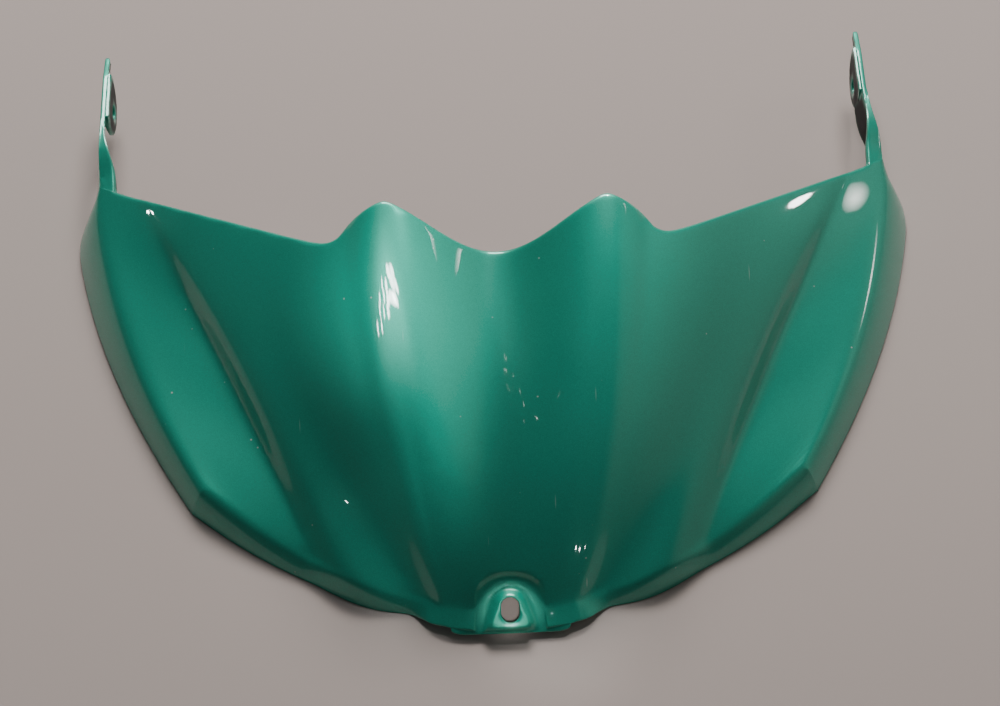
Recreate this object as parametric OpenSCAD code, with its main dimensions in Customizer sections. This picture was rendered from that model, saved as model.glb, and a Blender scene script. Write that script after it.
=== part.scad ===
// Motorcycle tank front cover: one gloss-painted moulding with two rear mounting arms.
// It lies outer side up, nose towards -Y, arms towards +Y, mirrored about x = 0. Distances back
// are measured from the nose's lower edge; the origin is under the middle of the whole cover.

/* [Whole cover] */
// Wall thickness of the moulding
wall = 3; // [2.2:0.1:3.4]

/* [Centre valley] */
// Distance of the shoulder line from the nose tip, at the centre
valley_front_y = 9; // [7:0.5:11]
// Height of the shoulder line at the centre of the nose
valley_front_z = 7; // [6:0.5:9]
// Distance back of the point that steers the valley's slope
valley_mid_y = 64; // [56:1:74]
// Height of the point that steers the valley's slope
valley_mid_z = 58; // [50:1:64]
// Distance back of the rear edge at the centre
valley_rear_y = 149; // [140:1:158]
// Height of the rear edge at the centre
valley_rear_z = 77; // [70:1:82]

/* [Ridge crests] */
// Distance between the two crests at the nose
crest_front_span = 54; // [50:1:58]
// Distance between the crests' steering points
crest_mid_span = 94; // [86:1:102]
// Distance between the two crests at the rear edge
crest_rear_span = 95; // [88:1:100]
// Distance back of the crests' front ends
crest_front_y = 12; // [10:0.5:14]
// Distance back of the crests' steering points
crest_mid_y = 84; // [76:1:92]
// Distance back of the crests' rear peaks
crest_rear_y = 161; // [154:1:168]
// Height of the crests' front ends
crest_front_z = 10; // [9:0.5:12]
// Height of the crests' steering points
crest_mid_z = 82; // [76:1:88]
// Height of the crests' rear peaks
crest_rear_z = 103; // [96:1:110]

/* [Panel lip] */
// Distance between the panel's lip creases at the nose
lip_front_span = 62; // [60:1:66]
// Distance between the lips' steering points
lip_mid_span = 128; // [122:1:136]
// Distance between the lips at the rear edge
lip_rear_span = 130; // [124:1:138]
// Distance back of the lips' steering points
lip_mid_y = 82; // [76:1:88]
// Height of the lips' front ends
lip_front_z = 8.5; // [8:0.5:10]
// Height of the lips' steering points
lip_mid_z = 74; // [68:1:78]
// Height of the lips at the rear edge
lip_rear_z = 90; // [84:1:94]
// Width of the step wall outside each lip, at the nose
step_front_run = 12; // [9:0.5:15]
// Width of the step wall outside each lip, halfway
step_mid_run = 22; // [18:0.5:26]
// Width of the step wall outside each lip, at the rear edge
step_rear_run = 16; // [12:0.5:20]
// Height of the step wall at the nose
step_front_drop = 0.5; // [0:0.25:2]
// Height of the step wall halfway
step_mid_drop = 20; // [16:0.5:23]
// Height of the step wall at the rear edge
step_rear_drop = 11; // [8:0.5:14]
// Share of the step wall's width at which its hollow is steered, from the lip
step_hollow = 0.3; // [0.2:0.05:0.5]

/* [Wings and scoops] */
// Crown of each wing above a straight line
wing_crown = 3; // [0:0.5:6]
// Distance between the scoops' fold creases at the lower edge
fold_front_span = 160; // [150:2:170]
// Distance between the fold creases' steering points
fold_mid_span = 212; // [200:2:226]
// Distance between the fold creases at the rear edge
fold_rear_span = 320; // [310:2:328]
// Distance back of the fold creases' front ends
fold_front_y = 33; // [28:1:38]
// Distance back of the fold creases' steering points
fold_mid_y = 103; // [96:1:110]
// Distance back of the fold creases' rear ends
fold_rear_y = 208; // [200:1:214]
// Height of the fold creases' front ends
fold_front_z = 11; // [9:0.5:13]
// Height of the fold creases' steering points
fold_mid_z = 44; // [38:1:50]
// Height of the fold creases' rear ends
fold_rear_z = 39; // [34:1:44]
// Width of the slope from a fold crease down into its scoop
scoop_run = 9; // [6:0.5:12]
// Depth of the scoop below its fold crease, halfway
scoop_drop = 7; // [4:0.5:9]

/* [Sides and flange] */
// Distance between the side shoulders at the front corners
side_front_span = 266; // [256:2:276]
// Distance back of the front corners' shoulders
side_front_y = 71; // [66:1:76]
// Height of the front corners' shoulders
side_front_z = 15; // [12:0.5:18]
// Distance between the side shoulders' steering points
side_mid_span = 340; // [332:2:350]
// Distance back of the side shoulders' steering points
side_mid_y = 130; // [122:1:138]
// Height of the side shoulders' steering points
side_mid_z = 19; // [15:0.5:24]
// Distance between the side shoulders at the rear corners
side_rear_span = 371; // [362:1:380]
// Distance back of the rear corners
side_rear_y = 225; // [218:1:232]
// Height of the rear corners
side_rear_z = 27; // [23:0.5:31]
// Outward flare of the flange along the front edge
flare_front = 7; // [5:0.5:9]
// Outward flare of the flange round the front corners
flare_corner = 10; // [8:0.5:12]
// Outward flare of the flange at its widest, ahead of the rear corners
flare_side = 17; // [13:0.5:19]
// Outward flare of the flange at the rear corners
flare_rear = 4; // [1.5:0.5:5]
// Length of the flange's rounded rear end
flange_round = 22; // [20:1:44]
// Forward bow of the front edge beside the panel
front_bow = 3.5; // [2:0.5:5]
// Height of the flange's lower edge at the rear corners
flange_rise = 7; // [4:0.5:10]

/* [Nose recess and fixing] */
// Slope of the recess floor
nose_slope = 30; // [26:1:31]
// Height of the recess floor's lower edge
nose_z = 3.2; // [3:0.1:5]
// Width of the arched recess at its floor
arch_w = 30; // [29:0.5:32]
// Length of the recess floor up the slope
arch_len = 24.5; // [23.5:0.5:26]
// Outward lean of the recess walls, in mm per mm of height
arch_lean = 1.25; // [0.9:0.05:1.5]
// Width of the chin at its lower edge
chin_w = 38; // [34:1:42]
// Width of the chin's rounded corners
chin_round = 7; // [5:0.5:8]
// Length of the chin's rounded corners up the slope
chin_len = 2.5; // [1.5:0.25:3.5]
// Distance of the flange's edge behind the nose's lower edge, at the chin
chin_set = 0.4; // [0.3:0.1:1.5]
// Height of the flange's lower edge at the chin's corners
chin_rise = 5; // [4:0.25:6]
// Width of the fixing pad at its foot
pad_w = 25.5; // [23:0.5:27]
// Width of the fixing pad's round top
pad_top_w = 17; // [14:0.5:19]
// Length of the fixing pad up the slope
pad_len = 20; // [18:0.5:22]
// Rise of the pad above the recess floor
pad_rise = 3.5; // [3:0.25:3.75]
// Width of the bevel round the pad
pad_bevel = 3; // [2:0.25:3.25]
// Length of the bevel at the pad's foot
pad_front = 2; // [2:0.25:3]
// Gap between the pad's foot and the lower edge
pad_gap = 0.5; // [0.3:0.1:1.5]
// Width of the fixing slot
slot_w = 8; // [6:0.25:9]
// Length of the fixing slot
slot_len = 11; // [10:0.5:12]
// Distance of the slot's centre up the slope from the lower edge
slot_up = 10.5; // [9:0.5:12]

/* [Rear arms] */
// Distance between the arms' upper edges at their tips
arm_span = 370; // [360:2:376]
// Distance of the arm tips behind the nose
arm_tip_y = 300; // [290:1:310]
// Thickness of the arms
arm_t = 2.4; // [1.8:0.1:2.6]
// Height of the arms' upper edge
arm_top_z = 32; // [29:0.5:35]
// Depth of the arm's neck behind the rear corner
neck_depth = 16; // [13:0.5:20]
// Depth of the arm at its tip
tip_depth = 4; // [3:0.5:7]
// Outward lean of the left arm's lower edge, flexed as it lies
left_lean = 3; // [-4:0.5:8]
// Outward lean of the right arm's lower edge
right_lean = -3; // [-4:0.5:8]
// Inward shift of the right arm's tip, flexed as it lies
right_sway = 4; // [0:0.5:5]
// Width of the strip that runs on from each rear corner into the arm's upper edge
strip_w = 7; // [4:0.5:9]
// Length of that strip
strip_len = 34; // [24:1:38]
// Width of the round ear inside each arm
ear_d = 30; // [26:1:34]
// Depth of the ear below the arm's upper edge
ear_depth = 24; // [20:0.5:28]
// Thickness of the ear
ear_t = 2.4; // [1.8:0.1:3]
// Distance of the ear's middle from the arm's tip
ear_back = 24; // [20:0.5:30]
// Diameter of the fixing hole in each ear
ear_hole_d = 7; // [5:0.25:7.5]
// Height of the hole's centre above the ear's lower edge
ear_hole_up = 9; // [8:0.5:10]

/* [Hidden] */
paint = [0.03, 0.42, 0.35];

// Grid steps: valley to crest, crest to lip, lip to foot, foot to fold, fold to scoop floor,
// scoop floor to side shoulder, and the flange
steps = [7, 4, 3, 5, 3, 5];
flange_steps = 4;
row_steps = 25;
segment_starts = [for (k = [0:6]) sum_to(steps, k)];
side_col = segment_starts[6];
last_col = side_col + flange_steps;
last_row = row_steps + flange_steps;
flange_curl = 1.6;
probe = 0.002;
scoop_depths = [0.25, 1, 0.09];
scoop_fades = [0.45, 0.6];
flare_start = 0.6;
flare_full = 0.9;
lip_set = [1, 4];
foot_set = 1;

valley_line = [
    [0, valley_front_y, valley_front_z],
    [0, valley_mid_y, valley_mid_z],
    [0, valley_rear_y, valley_rear_z]];
crest_line = [
    [crest_front_span / 2, crest_front_y, crest_front_z],
    [crest_mid_span / 2, crest_mid_y, crest_mid_z],
    [crest_rear_span / 2, crest_rear_y, crest_rear_z]];
lip_line = [
    [lip_front_span / 2, crest_front_y + lip_set[0], lip_front_z],
    [lip_mid_span / 2, lip_mid_y, lip_mid_z],
    [lip_rear_span / 2, crest_rear_y - lip_set[1], lip_rear_z]];
foot_line = [
    lip_line[0] + [step_front_run, step_front_run / 2, -step_front_drop],
    lip_line[1] + [step_mid_run, 0, -step_mid_drop],
    lip_line[2] + [step_rear_run, -foot_set, -step_rear_drop]];
fold_line = [
    [fold_front_span / 2, fold_front_y, fold_front_z],
    [fold_mid_span / 2, fold_mid_y, fold_mid_z],
    [fold_rear_span / 2, fold_rear_y, fold_rear_z]];
side_line = [
    [side_front_span / 2, side_front_y, side_front_z],
    [side_mid_span / 2, side_mid_y, side_mid_z],
    [side_rear_span / 2, side_rear_y, side_rear_z]];

function sum_to(list, k) = k == 0 ? 0 : list[k - 1] + sum_to(list, k - 1);
function mix(a, b, t) = a + (b - a) * t;
function ease(t) = (1 - cos(180 * t)) / 2;
function ramp(t, from, to) = ease(min(1, max(0, (t - from) / (to - from))));
function along(line, v) = pow(1 - v, 2) * line[0] + 2 * v * (1 - v) * line[1] + v * v * line[2];
function unit(p) = p / norm(p);
function flat(p) = [p[0], p[1], 0];
function outward(tangent) = unit([tangent[1], -tangent[0], 0]);
function mirrored(p) = [-p[0], p[1], p[2]];

// Scoop floor line: beside the fold crease, sunk most halfway along
function scoop_line(v) =
    mix(along(fold_line, v), along(side_line, v),
        scoop_run / norm(flat(along(side_line, v) - along(fold_line, v))))
    - [0, 0, scoop_drop * mix(mix(scoop_depths[0], scoop_depths[1], ramp(v, 0, scoop_fades[0])),
                              scoop_depths[2], ramp(v, scoop_fades[1], 1))];

// Point that steers the hollow of the step wall: on the wing's slope, carried in towards the lip
function hollow_point(lip, foot, fold) =
    foot + (foot - fold) * (1 - step_hollow) * (foot[0] - lip[0]) / (fold[0] - foot[0]);

// Point on the cover's outer face, between the centre and the side shoulders
function face_point(segment, t, v) =
    segment == 0 ?
        let (a = along(valley_line, v), b = along(crest_line, v))
        [mix(a[0], b[0], t), mix(a[1], b[1], t * t), mix(a[2], b[2], ease(t))] :
    segment == 1 ?
        let (a = along(crest_line, v), b = along(lip_line, v))
        [mix(a[0], b[0], t), mix(a[1], b[1], t), mix(a[2], b[2], t * t)] :
    segment == 2 ?
        let (a = along(lip_line, v), b = along(foot_line, v))
        along([a, hollow_point(a, b, along(fold_line, v)), b], t) :
    segment == 3 ?
        let (a = along(foot_line, v), b = along(fold_line, v))
        [mix(a[0], b[0], t), mix(a[1], b[1], t) - front_bow * pow(1 - v, 4) * sin(180 * t),
         mix(a[2], b[2], t) + wing_crown * (1 - v) * sin(180 * t * t)] :
    segment == 4 ?
        mix(along(fold_line, v), scoop_line(v), t) :
        let (a = scoop_line(v), b = along(side_line, v))
        [mix(a[0], b[0], t), mix(a[1], b[1], t) - front_bow * pow(1 - v, 4) * sin(180 * t) / 2,
         mix(a[2], b[2], t)];

function column_segment(i) = max([for (k = [0:5]) if (i >= segment_starts[k]) k]);
function column_point(i, v) =
    i >= side_col ? along(side_line, v) :
    let (s = column_segment(i)) face_point(s, (i - segment_starts[s]) / steps[s], v);

function side_out(v) = outward(along(side_line, v + probe) - along(side_line, v - probe));
function front_out(i) =
    i == 0 ? [0, -1, 0] : outward(column_point(min(i + 1, side_col), 0) - column_point(i - 1, 0));
function chin_share(i) =
    1 - ramp(column_point(i, 0)[0], crest_front_span / 2, lip_front_span / 2 + step_front_run);
function round_end(v) =
    let (u = 1 - norm(flat(side_line[2] - along(side_line, v))) / flange_round)
    1 - sqrt(1 - pow(max(0, u), 2));
function side_flare(v) = mix(mix(flare_corner, flare_side, ramp(v, 0, flare_full)), flare_rear, round_end(v));
function side_bottom(v) = flange_rise * round_end(v);

function flange_point(base, dir, t, flare, bottom, curl) =
    [base[0] + dir[0] * flare * t, base[1] + dir[1] * flare * t, base[2] - (base[2] - bottom) * pow(t, curl)];

// Outer face: columns run from the centre out, rows from the front lower edge to the rear edge
function outer_point(i, j) =
    let (a = i - side_col, b = flange_steps - j, v = max(0, -b) / row_steps)
    a <= 0 && b <= 0 ? column_point(i, v) :
    a <= 0 ? let (c = chin_share(i))
             flange_point(column_point(i, 0), front_out(i), b / flange_steps,
                          mix(mix(flare_front, flare_corner, ramp(i / side_col, flare_start, 1)),
                              valley_front_y - chin_set, c),
                          chin_rise * c, mix(flange_curl, 1, c)) :
    b <= 0 ? flange_point(along(side_line, v), side_out(v), a / flange_steps, side_flare(v), side_bottom(v),
                          flange_curl) :
    flange_point(side_line[0], corner_out(a, b), max(a, b) / flange_steps, flare_corner, 0, flange_curl);
function corner_out(a, b) =
    unit(mix(front_out(side_col), side_out(0), a > b ? 1 - b / a / 2 : a / b / 2));

outer_half = [for (i = [0:last_col]) [for (j = [0:last_row]) outer_point(i, j)]];
function outer_at(i, j) = i < 0 ? mirrored(outer_half[-i][j]) : outer_half[i][j];
function corner_normal(a, b) =
    unit(corner_out(a, b) * flange_curl * pow(max(a, b) / flange_steps, flange_curl - 1) * side_line[0][2]
         + [0, 0, flare_corner]);
function normal_at(i, j) =
    i > side_col && j < flange_steps ? corner_normal(i - side_col, flange_steps - j) :
    unit(cross(outer_at(min(i + 1, last_col), j) - outer_at(i - 1, j),
               outer_at(i, min(j + 1, last_row)) - outer_at(i, max(j - 1, 0))));
function inward_at(i, j) =
    let (n = normal_at(i, j))
    i == last_col ? -unit(flat(n)) :
    j == 0 ? -unit(mix(flat(n), n, chin_share(i))) :
    -n;

inward_half = [for (i = [0:last_col]) [for (j = [0:last_row]) inward_at(i, j)]];
function depth_half(depth) =
    [for (i = [0:last_col]) [for (j = [0:last_row]) outer_half[i][j] + inward_half[i][j] * depth]];

// Closed solid between two grids of points; top and bottom are lists of columns
module slab(top, bottom) {
    m = len(top);
    n = len(top[0]);
    function at(side, i, j) = side * m * n + i * n + j;
    polyhedron(
        points = concat([for (c = top) each c], [for (c = bottom) each c]),
        faces = concat(
            [for (i = [0:m - 2], j = [0:n - 2]) each [
                [at(0, i, j), at(0, i, j + 1), at(0, i + 1, j + 1)],
                [at(0, i, j), at(0, i + 1, j + 1), at(0, i + 1, j)],
                [at(1, i, j), at(1, i + 1, j + 1), at(1, i, j + 1)],
                [at(1, i, j), at(1, i + 1, j), at(1, i + 1, j + 1)]]],
            [for (i = [0:m - 2]) each [
                [at(0, i, 0), at(0, i + 1, 0), at(1, i + 1, 0)],
                [at(0, i, 0), at(1, i + 1, 0), at(1, i, 0)],
                [at(0, i, n - 1), at(1, i + 1, n - 1), at(0, i + 1, n - 1)],
                [at(0, i, n - 1), at(1, i, n - 1), at(1, i + 1, n - 1)]]],
            [for (j = [0:n - 2]) each [
                [at(0, 0, j), at(1, 0, j + 1), at(0, 0, j + 1)],
                [at(0, 0, j), at(1, 0, j), at(1, 0, j + 1)],
                [at(0, m - 1, j), at(0, m - 1, j + 1), at(1, m - 1, j + 1)],
                [at(0, m - 1, j), at(1, m - 1, j + 1), at(1, m - 1, j)]]]));
}

// Both halves of a half grid, from the left side to the right
function both_halves(half, cols, rows) =
    [for (i = [-cols:cols]) [for (j = [0:rows]) i < 0 ? mirrored(half[-i][j]) : half[i][j]]];

module shell() {
    slab(both_halves(outer_half, last_col, last_row),
         both_halves(depth_half(wall), last_col, last_row));
}

// Room under the middle of the wall at the nose, which trims the recess walls
trim_steps = [2, 8];
nose_cols = segment_starts[2] + trim_steps[0];
nose_rows = flange_steps + trim_steps[1];
recess_reach = 8 * wall;
module nose_room() {
    middle = both_halves(depth_half(wall / 2), nose_cols, nose_rows);
    slab(middle, [for (c = middle) [for (p = c) [p[0], p[1], -wall]]]);
}

// Places its children on the recess floor: x across, y up the slope, z out of the floor
module on_nose() {
    translate([0, 0, nose_z])
        rotate([nose_slope, 0, 0])
            children();
}

// Arch with straight legs, from the line at low up to its round top
module arch_outline(grow, low) {
    radius = arch_w / 2;
    difference() {
        translate([0, arch_len - radius])
            circle(r = radius + grow, $fn = 48);
        translate([-arch_w, arch_len - 2 * arch_w])
            square([2 * arch_w, 2 * arch_w - radius]);
    }
    translate([-radius - grow, low])
        square([arch_w + 2 * grow, arch_len - radius - low]);
}

// Recess space above the floor, with leaning walls
module arch_space(grow, low) {
    spread = arch_lean * recess_reach;
    linear_extrude(height = recess_reach, slices = 1,
                   scale = [1 + 2 * spread / arch_w, 1 + spread / arch_len])
        arch_outline(grow, low);
}

// Outline of the recess floor, with the chin's rounded corners below it
chin_steps = 6;
module chin_outline() {
    corner = [for (k = [0:chin_steps])
        let (turn = 90 * k / chin_steps)
        [chin_w / 2 + chin_round * sin(turn), chin_len * (1 - cos(turn))]];
    polygon(concat(corner, [for (k = [chin_steps:-1:0]) [-corner[k][0], corner[k][1]]]));
    translate([-chin_w / 2 - chin_round, chin_len])
        square([chin_w + 2 * chin_round, wall]);
    arch_outline(wall, chin_len);
}

// Outline of the pad: straight foot, leaning sides that meet a round top without a kink
pad_steps = 18;
function pad_ring(inset, low, z) =
    let (foot = pad_w / 2 - inset, round = pad_top_w / 2 - inset, high = pad_len - pad_top_w / 2,
         start = atan2(low - high, foot) + acos(round / norm([foot, low - high])))
    concat([[-foot, low, z], [foot, low, z]],
           [for (k = [0:pad_steps])
               let (turn = mix(start, 180 - start, k / pad_steps))
               [round * cos(turn), high + round * sin(turn), z]]);

// A tombstone-shaped block with bevelled sides, standing on the floor plane
module pad_block(inset, rise) {
    foot_ring = pad_ring(inset, pad_gap + inset, 0);
    top_ring = pad_ring(inset + pad_bevel, pad_gap + inset + pad_front, rise);
    n = len(foot_ring);
    polyhedron(
        points = concat(foot_ring, top_ring),
        faces = concat(
            [[for (k = [0:n - 1]) k], [for (k = [n - 1:-1:0]) n + k]],
            [for (k = [0:n - 1]) [n + k, n + (k + 1) % n, (k + 1) % n, k]]));
}

module slot_cutter() {
    reach = (slot_len - slot_w) / 2;
    depth = 6 * wall;
    translate([0, slot_up, -depth / 3]) {
        for (side = [-1, 1])
            translate([0, side * reach, 0])
                cylinder(d = slot_w, h = depth, $fn = 40);
        translate([-slot_w / 2, -reach, 0])
            cube([slot_w, 2 * reach, depth]);
    }
}

// Walls of the arched recess, floor, and the raised pad that takes the front fixing
module nose_cup() {
    difference() {
        union() {
            intersection() {
                on_nose()
                    translate([0, 0, -wall])
                        arch_space(wall, 0);
                nose_room();
            }
            on_nose()
                translate([0, 0, -wall])
                    linear_extrude(height = wall)
                        chin_outline();
        }
        on_nose()
            arch_space(0, -arch_w);
    }
}

// Middle surface of an arm: s runs from the shell's rear edge to the tip, r counts down from the
// upper edge; flex holds the outward lean of the lower edge and the outward shift of the tip
right_flex = [right_lean, -right_sway];
left_flex = [left_lean, 0];
root_rows = 2;
arm_stations = 16;
arm_x = arm_span / 2;
arm_len = arm_tip_y - side_rear_y;
tip_drop = 3;
root_hide = 0.2;
root_blend = 0.3;
shell_middle = depth_half(wall / 2);
neck_ends = [0.3, 1];
tip_start = 0.7;
ear_start = 0.5;
function arm_top(s, flex) =
    [arm_x + flex[1] * ramp(s, 0, ear_start), mix(side_rear_y, arm_tip_y, s),
     arm_top_z - tip_drop * pow(ramp(s, tip_start, 1), 2)];
function arm_depth(s) = mix(neck_depth, tip_depth, ramp(s, neck_ends[0], neck_ends[1]));
function arm_out(s, flex) = flex[0] * (1 - ramp(s, neck_ends[0], neck_ends[1]));
function root_point(r, j) = shell_middle[side_col + r][j] + [0, 0, r == flange_steps ? root_hide : 0];
function root_across(r, j) = -inward_half[side_col + r][j];
function arm_point(s, r, flex) =
    mix(root_point(r, last_row) + [0, s * arm_len, 0],
        arm_top(s, flex) + [arm_out(s, flex), 0, -arm_depth(s)] * r / flange_steps,
        ramp(s, 0, root_blend));
function arm_across(s, r, flex) =
    unit(mix(root_across(r, last_row), unit([arm_depth(s), 0, arm_out(s, flex)]), ramp(s, 0, root_blend)));
function arm_half_t(s) = mix(wall - root_hide, arm_t, ramp(s, 0, root_blend)) / 2;
function root_face(side, first, last) =
    [for (j = [last_row - root_rows:last_row]) [for (r = [first:last])
        root_point(r, j) + root_across(r, j) * side * arm_half_t(0)]];
function arm_face(side, flex) = concat(
    root_face(side, 0, flange_steps),
    [for (k = [1:arm_stations]) [for (r = [0:flange_steps])
        let (s = k / arm_stations)
        arm_point(s, r, flex) + arm_across(s, r, flex) * side * arm_half_t(s)]]);

// Strip from the shell's rear corner into the arm's upper edge, narrowing until it ends inside the arm
strip_cols = 2;
strip_steps = 7;
strip_hide = 1.6;
strip_reach = 0.9;
function strip_point(s, r, flex) =
    arm_point(s, 0, flex)
    + [(1 - ramp(s, 0, strip_len / arm_len)) * strip_w * r / strip_cols, 0,
       (1 - ramp(s, 0, strip_len / arm_len)) * (root_point(r, last_row) - root_point(0, last_row))[2]]
    + [strip_hide * r / strip_cols + strip_reach * arm_half_t(s), 0, -arm_half_t(s)] * ramp(s, 0, root_blend);
function strip_across(s, r) = unit(mix(root_across(r, last_row), [0, 0, 1], ramp(s, 0, root_blend)));
function strip_face(side, flex) = concat(
    root_face(side, -strip_cols, 0),
    [for (k = [1:strip_steps]) [for (r = [-strip_cols:0])
        let (s = k / strip_steps * strip_len / arm_len)
        strip_point(s, r, flex) + strip_across(s, r) * side * arm_half_t(s)]]);

// Round ear that hangs straight down from the arm's upper edge and takes a rear fixing
ear_seat = 1;
module ear(shift) {
    translate([arm_x + shift - arm_t / 2 + ear_seat - ear_t, arm_tip_y - ear_back, arm_top_z])
        rotate([90, 0, 90])
            difference() {
                linear_extrude(height = ear_t)
                    difference() {
                        translate([0, ear_d / 2 - ear_depth])
                            circle(d = ear_d, $fn = 72);
                        translate([-ear_d, -ear_seat])
                            square([2 * ear_d, 2 * ear_d]);
                    }
                translate([0, ear_hole_up - ear_depth, -ear_t])
                    cylinder(d = ear_hole_d, h = 3 * ear_t, $fn = 40);
            }
}

module arm(flex) {
    slab(arm_face(-1, flex), arm_face(1, flex));
    slab(strip_face(-1, flex), strip_face(1, flex));
    ear(flex[1]);
}

// The shell with its nose recess cut out
module cut_shell() {
    difference() {
        shell();
        on_nose()
            arch_space(0, -arch_w);
    }
}

// The pad's hollow back and the fixing slot
pad_wall = 2;
pad_sink = 0.5;
module pad_cutter() {
    on_nose() {
        translate([0, 0, -wall - probe])
            pad_block(pad_wall, pad_rise);
        slot_cutter();
    }
}

module tank_cover() {
    color(paint)
        translate([0, -arm_tip_y / 2, 0])
            difference() {
                union() {
                    cut_shell();
                    nose_cup();
                    on_nose()
                        translate([0, 0, -pad_sink])
                            pad_block(0, pad_rise + pad_sink);
                    for (side = [0, 1])
                        mirror([side, 0, 0])
                            arm(side == 0 ? right_flex : left_flex);
                }
                pad_cutter();
            }
}

tank_cover();
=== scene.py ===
# Motorcycle tank front cover: one gloss-painted moulding lying outer side up on a pale floor.
import math

import bmesh
import bpy
from mathutils import Matrix, Vector
from mathutils.kdtree import KDTree


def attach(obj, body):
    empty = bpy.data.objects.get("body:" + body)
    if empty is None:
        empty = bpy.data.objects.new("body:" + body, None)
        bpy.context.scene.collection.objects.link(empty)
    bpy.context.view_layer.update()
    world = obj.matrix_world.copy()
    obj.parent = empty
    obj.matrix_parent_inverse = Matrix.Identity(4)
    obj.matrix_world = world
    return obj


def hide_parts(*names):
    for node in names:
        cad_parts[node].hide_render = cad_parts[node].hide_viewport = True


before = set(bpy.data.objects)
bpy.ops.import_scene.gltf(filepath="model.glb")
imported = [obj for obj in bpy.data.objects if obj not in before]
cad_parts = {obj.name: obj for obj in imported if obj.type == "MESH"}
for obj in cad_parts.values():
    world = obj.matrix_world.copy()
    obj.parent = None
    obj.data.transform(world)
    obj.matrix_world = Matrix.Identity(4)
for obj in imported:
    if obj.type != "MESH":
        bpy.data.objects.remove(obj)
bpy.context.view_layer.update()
print("frame loaded")


def clearSelection():
    if bpy.context.object and bpy.context.object.mode != "OBJECT":
        bpy.ops.object.mode_set(mode="OBJECT")
    bpy.ops.object.select_all(action="DESELECT")


def makeActive(piece):
    clearSelection()
    piece.select_set(True)
    bpy.context.view_layer.objects.active = piece


def smoothStep(low, high, value):
    share = min(1.0, max(0.0, (value - low) / (high - low)))
    return share * share * (3 - 2 * share)


def addNode(tree, kind, place, **values):
    made = tree.nodes.new(kind)
    made.location = place
    for name, value in values.items():
        setattr(made, name, value)
    return made


def mathNode(tree, operation, place, *inputs):
    made = addNode(tree, "ShaderNodeMath", place, operation=operation)
    for number, value in enumerate(inputs):
        if hasattr(value, "is_linked"):
            tree.links.new(value, made.inputs[number])
        else:
            made.inputs[number].default_value = value
    return made.outputs["Value"]


def mixColors(tree, place, share, first, second):
    made = addNode(tree, "ShaderNodeMix", place, data_type="RGBA")
    for socket, value in ((made.inputs[0], share), (made.inputs[6], first), (made.inputs[7], second)):
        if hasattr(value, "is_linked"):
            tree.links.new(value, socket)
        else:
            socket.default_value = value
    return made.outputs[2]


def newGroup(name, inputs, outputs):
    tree = bpy.data.node_groups.new(name, "ShaderNodeTree")
    for label, kind, start in inputs:
        tree.interface.new_socket(label, in_out="INPUT", socket_type=kind).default_value = start
    for label, kind in outputs:
        tree.interface.new_socket(label, in_out="OUTPUT", socket_type=kind)
    return tree, addNode(tree, "NodeGroupInput", (-900, 0)), addNode(tree, "NodeGroupOutput", (900, 0))


def setRange(node, *values):
    for label, value in zip(("From Min", "From Max", "To Min", "To Max"), values):
        node.inputs[label].default_value = value


def placeGroup(tree, group, place, **values):
    made = addNode(tree, "ShaderNodeGroup", place, node_tree=group)
    for label, value in values.items():
        made.inputs[label].default_value = value
    return made


# The painted skin is the moulding's own shape with its facets turned into one smooth surface.
# Sharp corners such as the rim stay tight but rounded, as thick paint leaves them. A face counts as
# the inner side when it looks towards the aim point: its x, its share of the face's y, its z. The inner
# side is coloured as bare dark plastic, and on the arms' and ears' inner faces that dark colour is also
# painted shade.
skinLook = {
    "mergeGap": 2e-5, "quadAngle": 35, "quadShape": 60, "smoothAngle": 50, "levels": 2,
    "rimAngle": 50, "rimCrease": 0.34, "foldAngle": 22, "foldCrease": 0.2,
    # overspray is kept narrow so the arms' and ears' inner faces stay dark as painted shade
    "inwardAim": (0, 0.6, -0.12), "inwardShare": 0.12, "overspray": (0.0004, 0.003)}


def buildSkin():
    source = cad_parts["tank_cover"]
    piece = bpy.data.objects.new("painted_skin", source.data.copy())
    bpy.context.collection.objects.link(piece)
    makeActive(piece)
    bpy.ops.object.mode_set(mode="EDIT")
    bpy.ops.mesh.select_all(action="SELECT")
    bpy.ops.mesh.customdata_custom_splitnormals_clear()
    bpy.ops.mesh.remove_doubles(threshold=skinLook["mergeGap"])
    bpy.ops.mesh.tris_convert_to_quads(face_threshold=math.radians(skinLook["quadAngle"]),
                                       shape_threshold=math.radians(skinLook["quadShape"]))
    bpy.ops.mesh.normals_make_consistent(inside=False)
    bpy.ops.object.mode_set(mode="OBJECT")
    mesh = piece.data
    mesh.attributes.new("crease_edge", "FLOAT", "EDGE")
    shape = bmesh.new()
    shape.from_mesh(mesh)
    crease = shape.edges.layers.float["crease_edge"]
    rim, fold = math.radians(skinLook["rimAngle"]), math.radians(skinLook["foldAngle"])
    for edge in shape.edges:
        if len(edge.link_faces) == 2:
            turn = edge.calc_face_angle(0)
            edge[crease] = skinLook["rimCrease"] if turn > rim else skinLook["foldCrease"] * (turn > fold)
    shape.to_mesh(mesh)
    shape.free()
    rounding = piece.modifiers.new("Rounding", "SUBSURF")
    rounding.levels = rounding.render_levels = skinLook["levels"]
    bpy.ops.object.modifier_apply(modifier="Rounding")
    bpy.ops.object.shade_smooth_by_angle(angle=math.radians(skinLook["smoothAngle"]))
    print("skin shaped:", len(mesh.vertices), "points,", len(mesh.polygons), "faces")
    return piece
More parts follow.
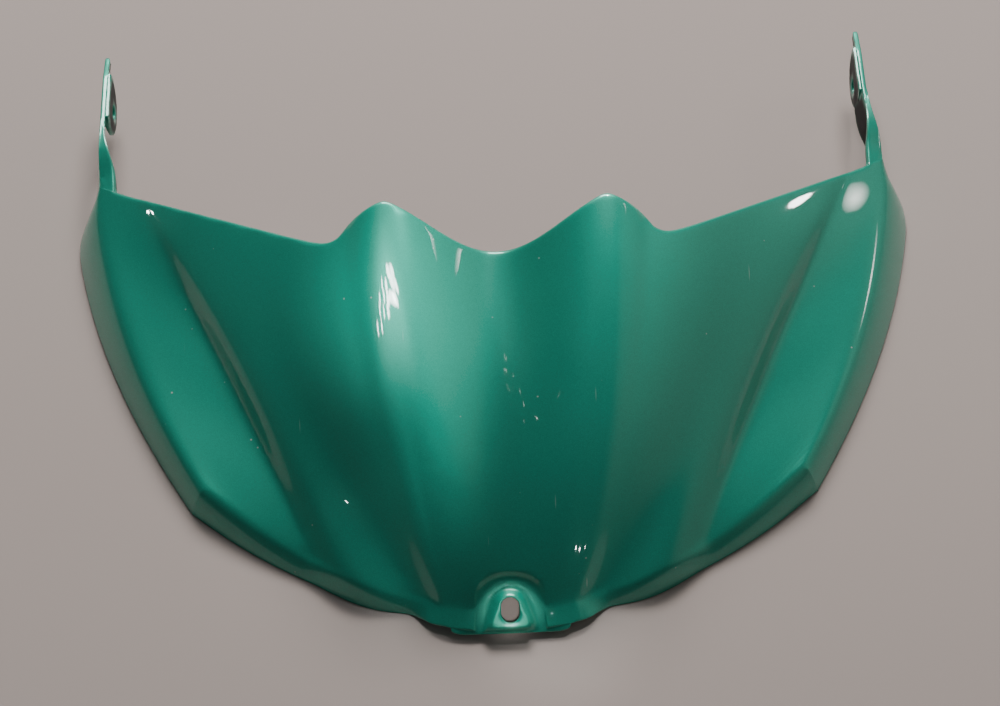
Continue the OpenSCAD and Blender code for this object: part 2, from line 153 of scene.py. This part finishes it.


# 0 on the painted outer side and its rim, rising to 1 on the inner side, coloured as bare dark plastic and,
# on the arms and ears, as painted shade
def markInnerSide(piece):
    mesh = piece.data
    shape = bmesh.new()
    shape.from_mesh(mesh)
    shape.verts.ensure_lookup_table()
    inner, rimPoints = set(), []
    aimX, aimShare, aimZ = skinLook["inwardAim"]
    for face in shape.faces:
        middle = face.calc_center_median()
        inward = (Vector((aimX, middle.y * aimShare, aimZ)) - middle).normalized()
        if face.normal.dot(inward) > skinLook["inwardShare"]:
            inner.update(point.index for point in face.verts)
    for point in shape.verts:
        if point.index in inner and any(other.index not in inner for face in point.link_faces
                                        for other in face.verts):
            rimPoints.append(point.co.copy())
    tree = KDTree(len(rimPoints))
    for number, place in enumerate(rimPoints):
        tree.insert(place, number)
    tree.balance()
    values = [0.0] * len(shape.verts)
    for number in inner:
        values[number] = smoothStep(*skinLook["overspray"], tree.find(shape.verts[number].co)[2])
    shape.free()
    mask = mesh.attributes.new("bare_and_shaded_side", "FLOAT", "POINT")
    mask.data.foreach_set("value", values)
    print("inner side marked:", len(inner), "points,", len(rimPoints), "on the rim")


skin = buildSkin()
markInnerSide(skin)

# Fine metal flake: tiny cells that vary the paint's brightness, over broad soft clouds of tone
flakeShape = {"cellShare": 0.55, "cloudShare": 0.45}
flakeGroup, flakeIn, flakeOut = newGroup(
    "metal flake",
    [("Size", "NodeSocketFloat", 5000.0), ("Deep", "NodeSocketColor", (0, 0.1, 0.08, 1)),
     ("Bright", "NodeSocketColor", (0.05, 0.4, 0.3, 1)), ("Clouds", "NodeSocketFloat", 14.0)],
    [("Color", "NodeSocketColor"), ("Gloss", "NodeSocketFloat")])
flakePlace = addNode(flakeGroup, "ShaderNodeTexCoord", (-900, 300)).outputs["Object"]
cells = addNode(flakeGroup, "ShaderNodeTexVoronoi", (-600, 200))
flakeGroup.links.new(flakePlace, cells.inputs["Vector"])
flakeGroup.links.new(flakeIn.outputs["Size"], cells.inputs["Scale"])
cellTone = addNode(flakeGroup, "ShaderNodeSeparateColor", (-380, 200))
flakeGroup.links.new(cells.outputs["Color"], cellTone.inputs["Color"])
clouds = addNode(flakeGroup, "ShaderNodeTexNoise", (-600, -100))
flakeGroup.links.new(flakePlace, clouds.inputs["Vector"])
flakeGroup.links.new(flakeIn.outputs["Clouds"], clouds.inputs["Scale"])
cellPart = mathNode(flakeGroup, "MULTIPLY", (-300, 100), cellTone.outputs["Red"], flakeShape["cellShare"])
cloudPart = mathNode(flakeGroup, "MULTIPLY", (-300, -60), clouds.outputs["Fac"], flakeShape["cloudShare"])
share = mathNode(flakeGroup, "ADD", (-150, 100), cellPart, cloudPart)
flakeTone = mixColors(flakeGroup, (100, 200), share, flakeIn.outputs["Deep"], flakeIn.outputs["Bright"])
flakeGroup.links.new(flakeTone, flakeOut.inputs["Color"])
flakeGroup.links.new(cellTone.outputs["Green"], flakeOut.inputs["Gloss"])

# Settled dust: sparse pale specks, thicker where the surface faces up
dustShape = {"core": 0.06, "edge": 0.2, "cover": 0.85, "hazeSize": 60.0, "hazeDetail": 6.0}
dustGroup, dustIn, dustOut = newGroup(
    "dust specks",
    [("Size", "NodeSocketFloat", 260.0), ("Amount", "NodeSocketFloat", 0.05),
     ("Film", "NodeSocketFloat", 0.03)],
    [("Mask", "NodeSocketFloat")])
dustPlace = addNode(dustGroup, "ShaderNodeTexCoord", (-900, 300)).outputs["Object"]
specks = addNode(dustGroup, "ShaderNodeTexVoronoi", (-650, 200))
dustGroup.links.new(dustPlace, specks.inputs["Vector"])
dustGroup.links.new(dustIn.outputs["Size"], specks.inputs["Scale"])
speckTone = addNode(dustGroup, "ShaderNodeSeparateColor", (-450, 300))
dustGroup.links.new(specks.outputs["Color"], speckTone.inputs["Color"])
chosen = mathNode(dustGroup, "LESS_THAN", (-250, 300), speckTone.outputs["Red"], dustIn.outputs["Amount"])
near = addNode(dustGroup, "ShaderNodeMapRange", (-250, 120), interpolation_type="SMOOTHSTEP")
dustGroup.links.new(specks.outputs["Distance"], near.inputs["Value"])
setRange(near, dustShape["core"], dustShape["edge"], dustShape["cover"], 0.0)
facing = addNode(dustGroup, "ShaderNodeSeparateXYZ", (-250, -100))
dustGroup.links.new(addNode(dustGroup, "ShaderNodeNewGeometry", (-450, -100)).outputs["Normal"],
                    facing.inputs["Vector"])
upward = mathNode(dustGroup, "MAXIMUM", (-60, -100), facing.outputs["Z"], 0.0)
haze = addNode(dustGroup, "ShaderNodeTexNoise", (-450, -300))
haze.inputs["Scale"].default_value = dustShape["hazeSize"]
haze.inputs["Detail"].default_value = dustShape["hazeDetail"]
dustGroup.links.new(dustPlace, haze.inputs["Vector"])
film = mathNode(dustGroup, "MULTIPLY", (100, -200), haze.outputs["Fac"], dustIn.outputs["Film"])
total = mathNode(dustGroup, "ADD", (250, 60),
                 mathNode(dustGroup, "MULTIPLY", (0, 200), chosen, near.outputs["Result"]), film)
dustGroup.links.new(mathNode(dustGroup, "MULTIPLY", (450, 0), total, upward), dustOut.inputs["Mask"])

# Short fine scratches: stretched cells, kept only here and there
scratchShape = {"stretch": (9.0, 0.5, 1.0), "core": 0.05, "edge": 0.22}
scratchGroup, scratchIn, scratchOut = newGroup(
    "fine scratches",
    [("Size", "NodeSocketFloat", 60.0), ("Amount", "NodeSocketFloat", 0.1),
     ("Turn", "NodeSocketVector", (0.0, 0.0, 0.6))],
    [("Mask", "NodeSocketFloat")])
scratchPlace = addNode(scratchGroup, "ShaderNodeTexCoord", (-900, 300)).outputs["Object"]
turned = addNode(scratchGroup, "ShaderNodeMapping", (-700, 300))
turned.inputs["Scale"].default_value = scratchShape["stretch"]
scratchGroup.links.new(scratchPlace, turned.inputs["Vector"])
scratchGroup.links.new(scratchIn.outputs["Turn"], turned.inputs["Rotation"])
strands = addNode(scratchGroup, "ShaderNodeTexVoronoi", (-480, 300))
scratchGroup.links.new(turned.outputs["Vector"], strands.inputs["Vector"])
scratchGroup.links.new(scratchIn.outputs["Size"], strands.inputs["Scale"])
strandTone = addNode(scratchGroup, "ShaderNodeSeparateColor", (-280, 400))
scratchGroup.links.new(strands.outputs["Color"], strandTone.inputs["Color"])
kept = mathNode(scratchGroup, "LESS_THAN", (-80, 400), strandTone.outputs["Blue"],
                scratchIn.outputs["Amount"])
line = addNode(scratchGroup, "ShaderNodeMapRange", (-80, 200), interpolation_type="SMOOTHSTEP")
scratchGroup.links.new(strands.outputs["Distance"], line.inputs["Value"])
setRange(line, scratchShape["core"], scratchShape["edge"], 1.0, 0.0)
scratchGroup.links.new(mathNode(scratchGroup, "MULTIPLY", (150, 300), kept, line.outputs["Result"]),
                       scratchOut.inputs["Mask"])

# Slow ripple of a sprayed or moulded surface, put out as a height
rippleShape = {"detail": 1.0, "fineShare": 0.25}
rippleGroup, rippleIn, rippleOut = newGroup(
    "surface ripple",
    [("Size", "NodeSocketFloat", 300.0), ("Broad", "NodeSocketFloat", 40.0)],
    [("Height", "NodeSocketFloat")])
ripplePlace = addNode(rippleGroup, "ShaderNodeTexCoord", (-900, 300)).outputs["Object"]
fineNoise = addNode(rippleGroup, "ShaderNodeTexNoise", (-600, 200))
broadNoise = addNode(rippleGroup, "ShaderNodeTexNoise", (-600, -100))
for noise, label in ((fineNoise, "Size"), (broadNoise, "Broad")):
    rippleGroup.links.new(ripplePlace, noise.inputs["Vector"])
    rippleGroup.links.new(rippleIn.outputs[label], noise.inputs["Scale"])
    noise.inputs["Detail"].default_value = rippleShape["detail"]
finePart = mathNode(rippleGroup, "MULTIPLY", (-300, 200), fineNoise.outputs["Fac"], rippleShape["fineShare"])
rippleGroup.links.new(mathNode(rippleGroup, "ADD", (0, 100), finePart, broadNoise.outputs["Fac"]),
                      rippleOut.inputs["Height"])
print("effects built")

# One finish for the moulding: lacquered metallic paint outside, bare dark plastic inside,
# with a narrow edge of overspray between them. The dark inside colour also serves as painted shade on the
# arms' and ears' inner faces.
paintLook = {
    "deep": (0.001, 0.23, 0.155, 1), "bright": (0.003, 0.40, 0.275, 1), "metal": 0.35,
    "roughness": 0.42, "roughSpread": 0.08, "coatRoughness": 0.025, "coatIor": 1.52,
    # the dark inner-side colour: bare plastic, and painted shade on the arms' and ears' inner faces
    "bareAndShade": (0.018, 0.019, 0.02, 1), "bareRoughness": 0.7,
    "dustTone": (0.62, 0.60, 0.56, 1), "scratchTone": (0.45, 0.62, 0.55, 1),
    "scratchShow": 0.4, "scratchWear": 0.4, "bumpStrength": 0.05, "bumpHeight": 0.001,
    "flake": {"Size": 5200.0, "Clouds": 14.0}, "dust": {"Size": 330.0, "Amount": 0.012, "Film": 0.008},
    "scratches": {"Size": 75.0, "Amount": 0.006, "Turn": (0.0, 0.0, 0.55)},
    "ripple": {"Size": 420.0, "Broad": 45.0}}

paint = bpy.data.materials.new("lacquered metallic paint")
paint.use_nodes = True
tree = paint.node_tree
shader = tree.nodes["Principled BSDF"]
shader.location = (900, 200)
tree.nodes["Material Output"].location = (1200, 200)
flake = placeGroup(tree, flakeGroup, (-700, 400), Deep=paintLook["deep"], Bright=paintLook["bright"],
                   **paintLook["flake"])
dust = placeGroup(tree, dustGroup, (-700, 100), **paintLook["dust"])
scratches = placeGroup(tree, scratchGroup, (-700, -100), **paintLook["scratches"])
ripple = placeGroup(tree, rippleGroup, (-700, -300), **paintLook["ripple"])
bareAndShade = addNode(tree, "ShaderNodeAttribute", (-700, -500), attribute_type="GEOMETRY",
               attribute_name="bare_and_shaded_side")
bareAndShadeShare = bareAndShade.outputs["Fac"]
marks = mathNode(tree, "MULTIPLY", (-450, 0), scratches.outputs["Mask"], paintLook["scratchShow"])
painted = mixColors(tree, (-250, 300), marks, flake.outputs["Color"], paintLook["scratchTone"])
# Dark inner side: bare plastic colour that also stands in as painted shade on the arms' and ears' inner
# faces
finished = mixColors(tree, (0, 300), bareAndShadeShare, painted, paintLook["bareAndShade"])
tree.links.new(mixColors(tree, (250, 300), dust.outputs["Mask"], finished, paintLook["dustTone"]),
               shader.inputs["Base Color"])
clean = mathNode(tree, "SUBTRACT", (100, 0), 1.0,
                 mathNode(tree, "MAXIMUM", (-60, 0), bareAndShadeShare, dust.outputs["Mask"]))
tree.links.new(mathNode(tree, "MULTIPLY", (300, 0), clean, paintLook["metal"]), shader.inputs["Metallic"])
baseRough = mathNode(tree, "MULTIPLY_ADD", (-60, -200), flake.outputs["Gloss"], paintLook["roughSpread"],
                     paintLook["roughness"] - paintLook["roughSpread"] / 2)
roughGap = mathNode(tree, "SUBTRACT", (100, -200), paintLook["bareRoughness"], baseRough)
tree.links.new(mathNode(tree, "MULTIPLY_ADD", (300, -200), roughGap, bareAndShadeShare, baseRough),
               shader.inputs["Roughness"])
worn = mathNode(tree, "MULTIPLY", (300, 120), marks, paintLook["scratchWear"])
tree.links.new(mathNode(tree, "SUBTRACT", (500, 0), clean, worn), shader.inputs["Coat Weight"])
bump = addNode(tree, "ShaderNodeBump", (500, -300))
bump.inputs["Strength"].default_value = paintLook["bumpStrength"]
bump.inputs["Distance"].default_value = paintLook["bumpHeight"]
tree.links.new(ripple.outputs["Height"], bump.inputs["Height"])
tree.links.new(bump.outputs["Normal"], shader.inputs["Normal"])
shader.inputs["Coat Roughness"].default_value = paintLook["coatRoughness"]
shader.inputs["Coat IOR"].default_value = paintLook["coatIor"]
skin.data.materials.clear()
skin.data.materials.append(paint)
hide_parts("tank_cover")
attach(skin, "root")
print("skin finished")

floorLook = {"size": 8.0, "tone": (0.44, 0.38, 0.355, 1), "roughness": 0.9, "specular": 0.2}
clearSelection()
bpy.ops.mesh.primitive_plane_add(size=floorLook["size"], location=(0, 0, 0))
floor = bpy.context.object
floor.name = "floor"
floorFinish = bpy.data.materials.new("pale floor")
floorFinish.use_nodes = True
floorShader = floorFinish.node_tree.nodes["Principled BSDF"]
floorShader.inputs["Base Color"].default_value = floorLook["tone"]
floorShader.inputs["Roughness"].default_value = floorLook["roughness"]
floorShader.inputs["Specular IOR Level"].default_value = floorLook["specular"]
floor.data.materials.append(floorFinish)


# Compass direction: 0 is towards +Y, 90 towards +X
def direction(azimuth, elevation):
    turn, rise = math.radians(azimuth), math.radians(elevation)
    return Vector((math.sin(turn) * math.cos(rise), math.cos(turn) * math.cos(rise), math.sin(rise)))


# The soft room: a dim ambience with broad brighter and darker walls
roomLook = {"ambience": (0.055, 0.065, 0.07, 1), "strength": 1.0, "walls": [
    {"at": (95, 20), "full": 14, "gone": 42, "tone": (0.36, 0.31, 0.28, 1), "share": 0.9},
    {"at": (0, 35), "full": 20, "gone": 50, "tone": (0.28, 0.27, 0.26, 1), "share": 1.0},
    {"at": (-100, 30), "full": 20, "gone": 50, "tone": (0.05, 0.07, 0.07, 1), "share": 0.8}]}
world = bpy.data.worlds.new("soft room")
bpy.context.scene.world = world
world.use_nodes = True
room = world.node_tree
view = addNode(room, "ShaderNodeTexCoord", (-1100, 0)).outputs["Generated"]
tone = roomLook["ambience"]
for number, wall in enumerate(roomLook["walls"]):
    place = -800 + 260 * number
    toward = addNode(room, "ShaderNodeVectorMath", (place, -200), operation="DOT_PRODUCT")
    room.links.new(view, toward.inputs[0])
    toward.inputs[1].default_value = direction(*wall["at"])
    fade = addNode(room, "ShaderNodeMapRange", (place, -50), interpolation_type="SMOOTHSTEP")
    room.links.new(toward.outputs["Value"], fade.inputs["Value"])
    setRange(fade, math.cos(math.radians(wall["gone"])), math.cos(math.radians(wall["full"])),
             0.0, wall["share"])
    tone = mixColors(room, (place, 150), fade.outputs["Result"], tone, wall["tone"])
room.links.new(tone, room.nodes["Background"].inputs["Color"])
room.nodes["Background"].inputs["Strength"].default_value = roomLook["strength"]


# Each lamp stands in a compass direction from its target and faces it, turned about its own line
def placeLamp(data, name, azimuth, elevation, distance, target, turn, breadth):
    lamp = bpy.data.objects.new(name, data)
    bpy.context.collection.objects.link(lamp)
    away = direction(azimuth, elevation)
    facing = (-away).to_track_quat("-Z", "Y").to_matrix().to_4x4()
    spot = Matrix.Translation(Vector(target) + away * distance)
    lamp.matrix_world = spot @ facing @ Matrix.Rotation(math.radians(turn), 4, "Z") @ \
        Matrix.Diagonal((breadth, 1, 1, 1))


# A rectangular soft light; a small spread acts as a grid
def softLight(name, azimuth, elevation, distance, size, power, tone, turn=0.0, target=(0, 0, 0),
              spread=180):
    data = bpy.data.lights.new(name, "AREA")
    data.shape = "RECTANGLE"
    data.size, data.size_y = size
    data.spread = math.radians(spread)
    data.energy = power
    data.color = tone
    placeLamp(data, name, azimuth, elevation, distance, target, turn, 1)


# A narrow beam that lights one small part of the cover; breadth squeezes its round cone
def beamLight(name, azimuth, elevation, distance, target, radius, cone, power, tone, breadth=1.0,
              turn=0.0):
    data = bpy.data.lights.new(name, "SPOT")
    data.shadow_soft_size = radius
    data.spot_size = math.radians(cone)
    data.spot_blend = beamLook["softness"]
    data.energy = power
    data.color = tone
    placeLamp(data, name, azimuth, elevation, distance, target, turn, breadth)


beamLook = {
    "softness": 0.9, "white": (1, 1, 1), "cool": (0.97, 1, 1), "fillDistance": 1.4, "nearDistance": 0.8,
    "glintCone": 2.5, "paneRadius": 0.034, "paneCone": 4.1, "panePower": 3.4,
    # azimuth, elevation, target, radius, cone, power, breadth, turn
    "fills": [
        ("left ridge fill", 40, 66, (-0.033, -0.025, 0.08), 0.02, 6.5, 112, 0.3, 48),
        ("left ridge low fill", 40, 66, (-0.027, -0.078, 0.057), 0.02, 5, 66, 0.28, 48),
        ("left wing fill", -10, 60, (-0.095, 0.0, 0.06), 0.05, 6, 38, 0.55, 0),
        ("right ridge fill", 20, 60, (0.05, -0.035, 0.07), 0.03, 8, 90, 0.26, 12)],
    # azimuth, elevation, target, radius, power
    "glints": [
        ("left corner glint", -80.4, 12.9, (-0.1603, 0.0532, 0.0371), 0.006, 0.3),
        ("left wing glint", -133, 36, (-0.0691, -0.0961, 0.0284), 0.008, 0.3),
        ("nose glint", 156, 22.5, (0.0309, -0.1219, 0.0255), 0.005, 0.12),
        ("right wing glint", 78.3, 16.1, (0.1405, 0.04, 0.0473), 0.012, 0.5)],
    # The window's reflection on the left crest: azimuth, elevation and target of each small pane
    "panes": [
        (-142, 75, -0.047, -0.019, 0.093), (-153, 77, -0.045, -0.019, 0.093),
        (-123, 64, -0.05, -0.024, 0.09), (-138, 70, -0.048, -0.024, 0.09),
        (-151, 74, -0.045, -0.024, 0.091), (-162, 75, -0.043, -0.024, 0.091),
        (-117, 54, -0.051, -0.029, 0.088), (-131, 64, -0.049, -0.029, 0.088),
        (-144, 68, -0.047, -0.03, 0.088), (-150, 70, -0.046, -0.03, 0.088),
        (-155, 71, -0.044, -0.03, 0.088), (-117, 50, -0.051, -0.035, 0.085),
        (-130, 59, -0.049, -0.035, 0.085), (-144, 65, -0.048, -0.035, 0.085),
        (-113, 39, -0.052, -0.04, 0.081), (-122, 49, -0.05, -0.041, 0.082)]}

softLight("back window", 4, 44, 2.2, (1.2, 0.7), 68, (1, 0.97, 0.95))
softLight("right window", 76, 28, 1.6, (0.36, 0.2), 0.010, (1, 0.97, 0.93), 20, (0.172, 0.05, 0.031), 8)
for name, azimuth, elevation, target, radius, cone, power, breadth, turn in beamLook["fills"]:
    beamLight(name, azimuth, elevation, beamLook["fillDistance"], target, radius, cone, power,
              beamLook["cool"], breadth, turn)
beamLight("slot light", 178.6, 61, 1.2, (0, -0.143, 0.011), 0.006, 1.3, 30, (1, 0.97, 0.94))
for name, azimuth, elevation, target, radius, power in beamLook["glints"]:
    beamLight(name, azimuth, elevation, beamLook["nearDistance"], target, radius, beamLook["glintCone"],
              power, beamLook["white"])
for azimuth, elevation, *target in beamLook["panes"]:
    beamLight("crest pane", azimuth, elevation, beamLook["nearDistance"], target, beamLook["paneRadius"],
              beamLook["paneCone"], beamLook["panePower"], beamLook["white"])
print("lamps set:", len(bpy.data.lights))

# The camera stands where the photograph was taken from
cameraLook = {"azimuth": -1.35, "elevation": 60, "roll": -0.95, "target": (0, -0.03149, 0.041),
              "distance": 1.0, "lens": 81, "sensor": 36}
swing, rise, roll = (math.radians(cameraLook[key]) for key in ("azimuth", "elevation", "roll"))
back = Vector((math.sin(swing) * math.cos(rise), -math.cos(swing) * math.cos(rise), math.sin(rise)))
right = Vector((math.cos(swing), math.sin(swing), 0))
up = back.cross(right)
cameraX = math.cos(roll) * right + math.sin(roll) * up
cameraY = math.cos(roll) * up - math.sin(roll) * right
cameraData = bpy.data.cameras.new("photo camera")
cameraData.lens = cameraLook["lens"]
cameraData.sensor_width = cameraLook["sensor"]
camera = bpy.data.objects.new("photo camera", cameraData)
bpy.context.collection.objects.link(camera)
stand = Vector(cameraLook["target"]) + back * cameraLook["distance"]
camera.matrix_world = Matrix.Translation(stand) @ Matrix((cameraX, cameraY, back)).transposed().to_4x4()
bpy.context.scene.camera = camera
print("camera set")
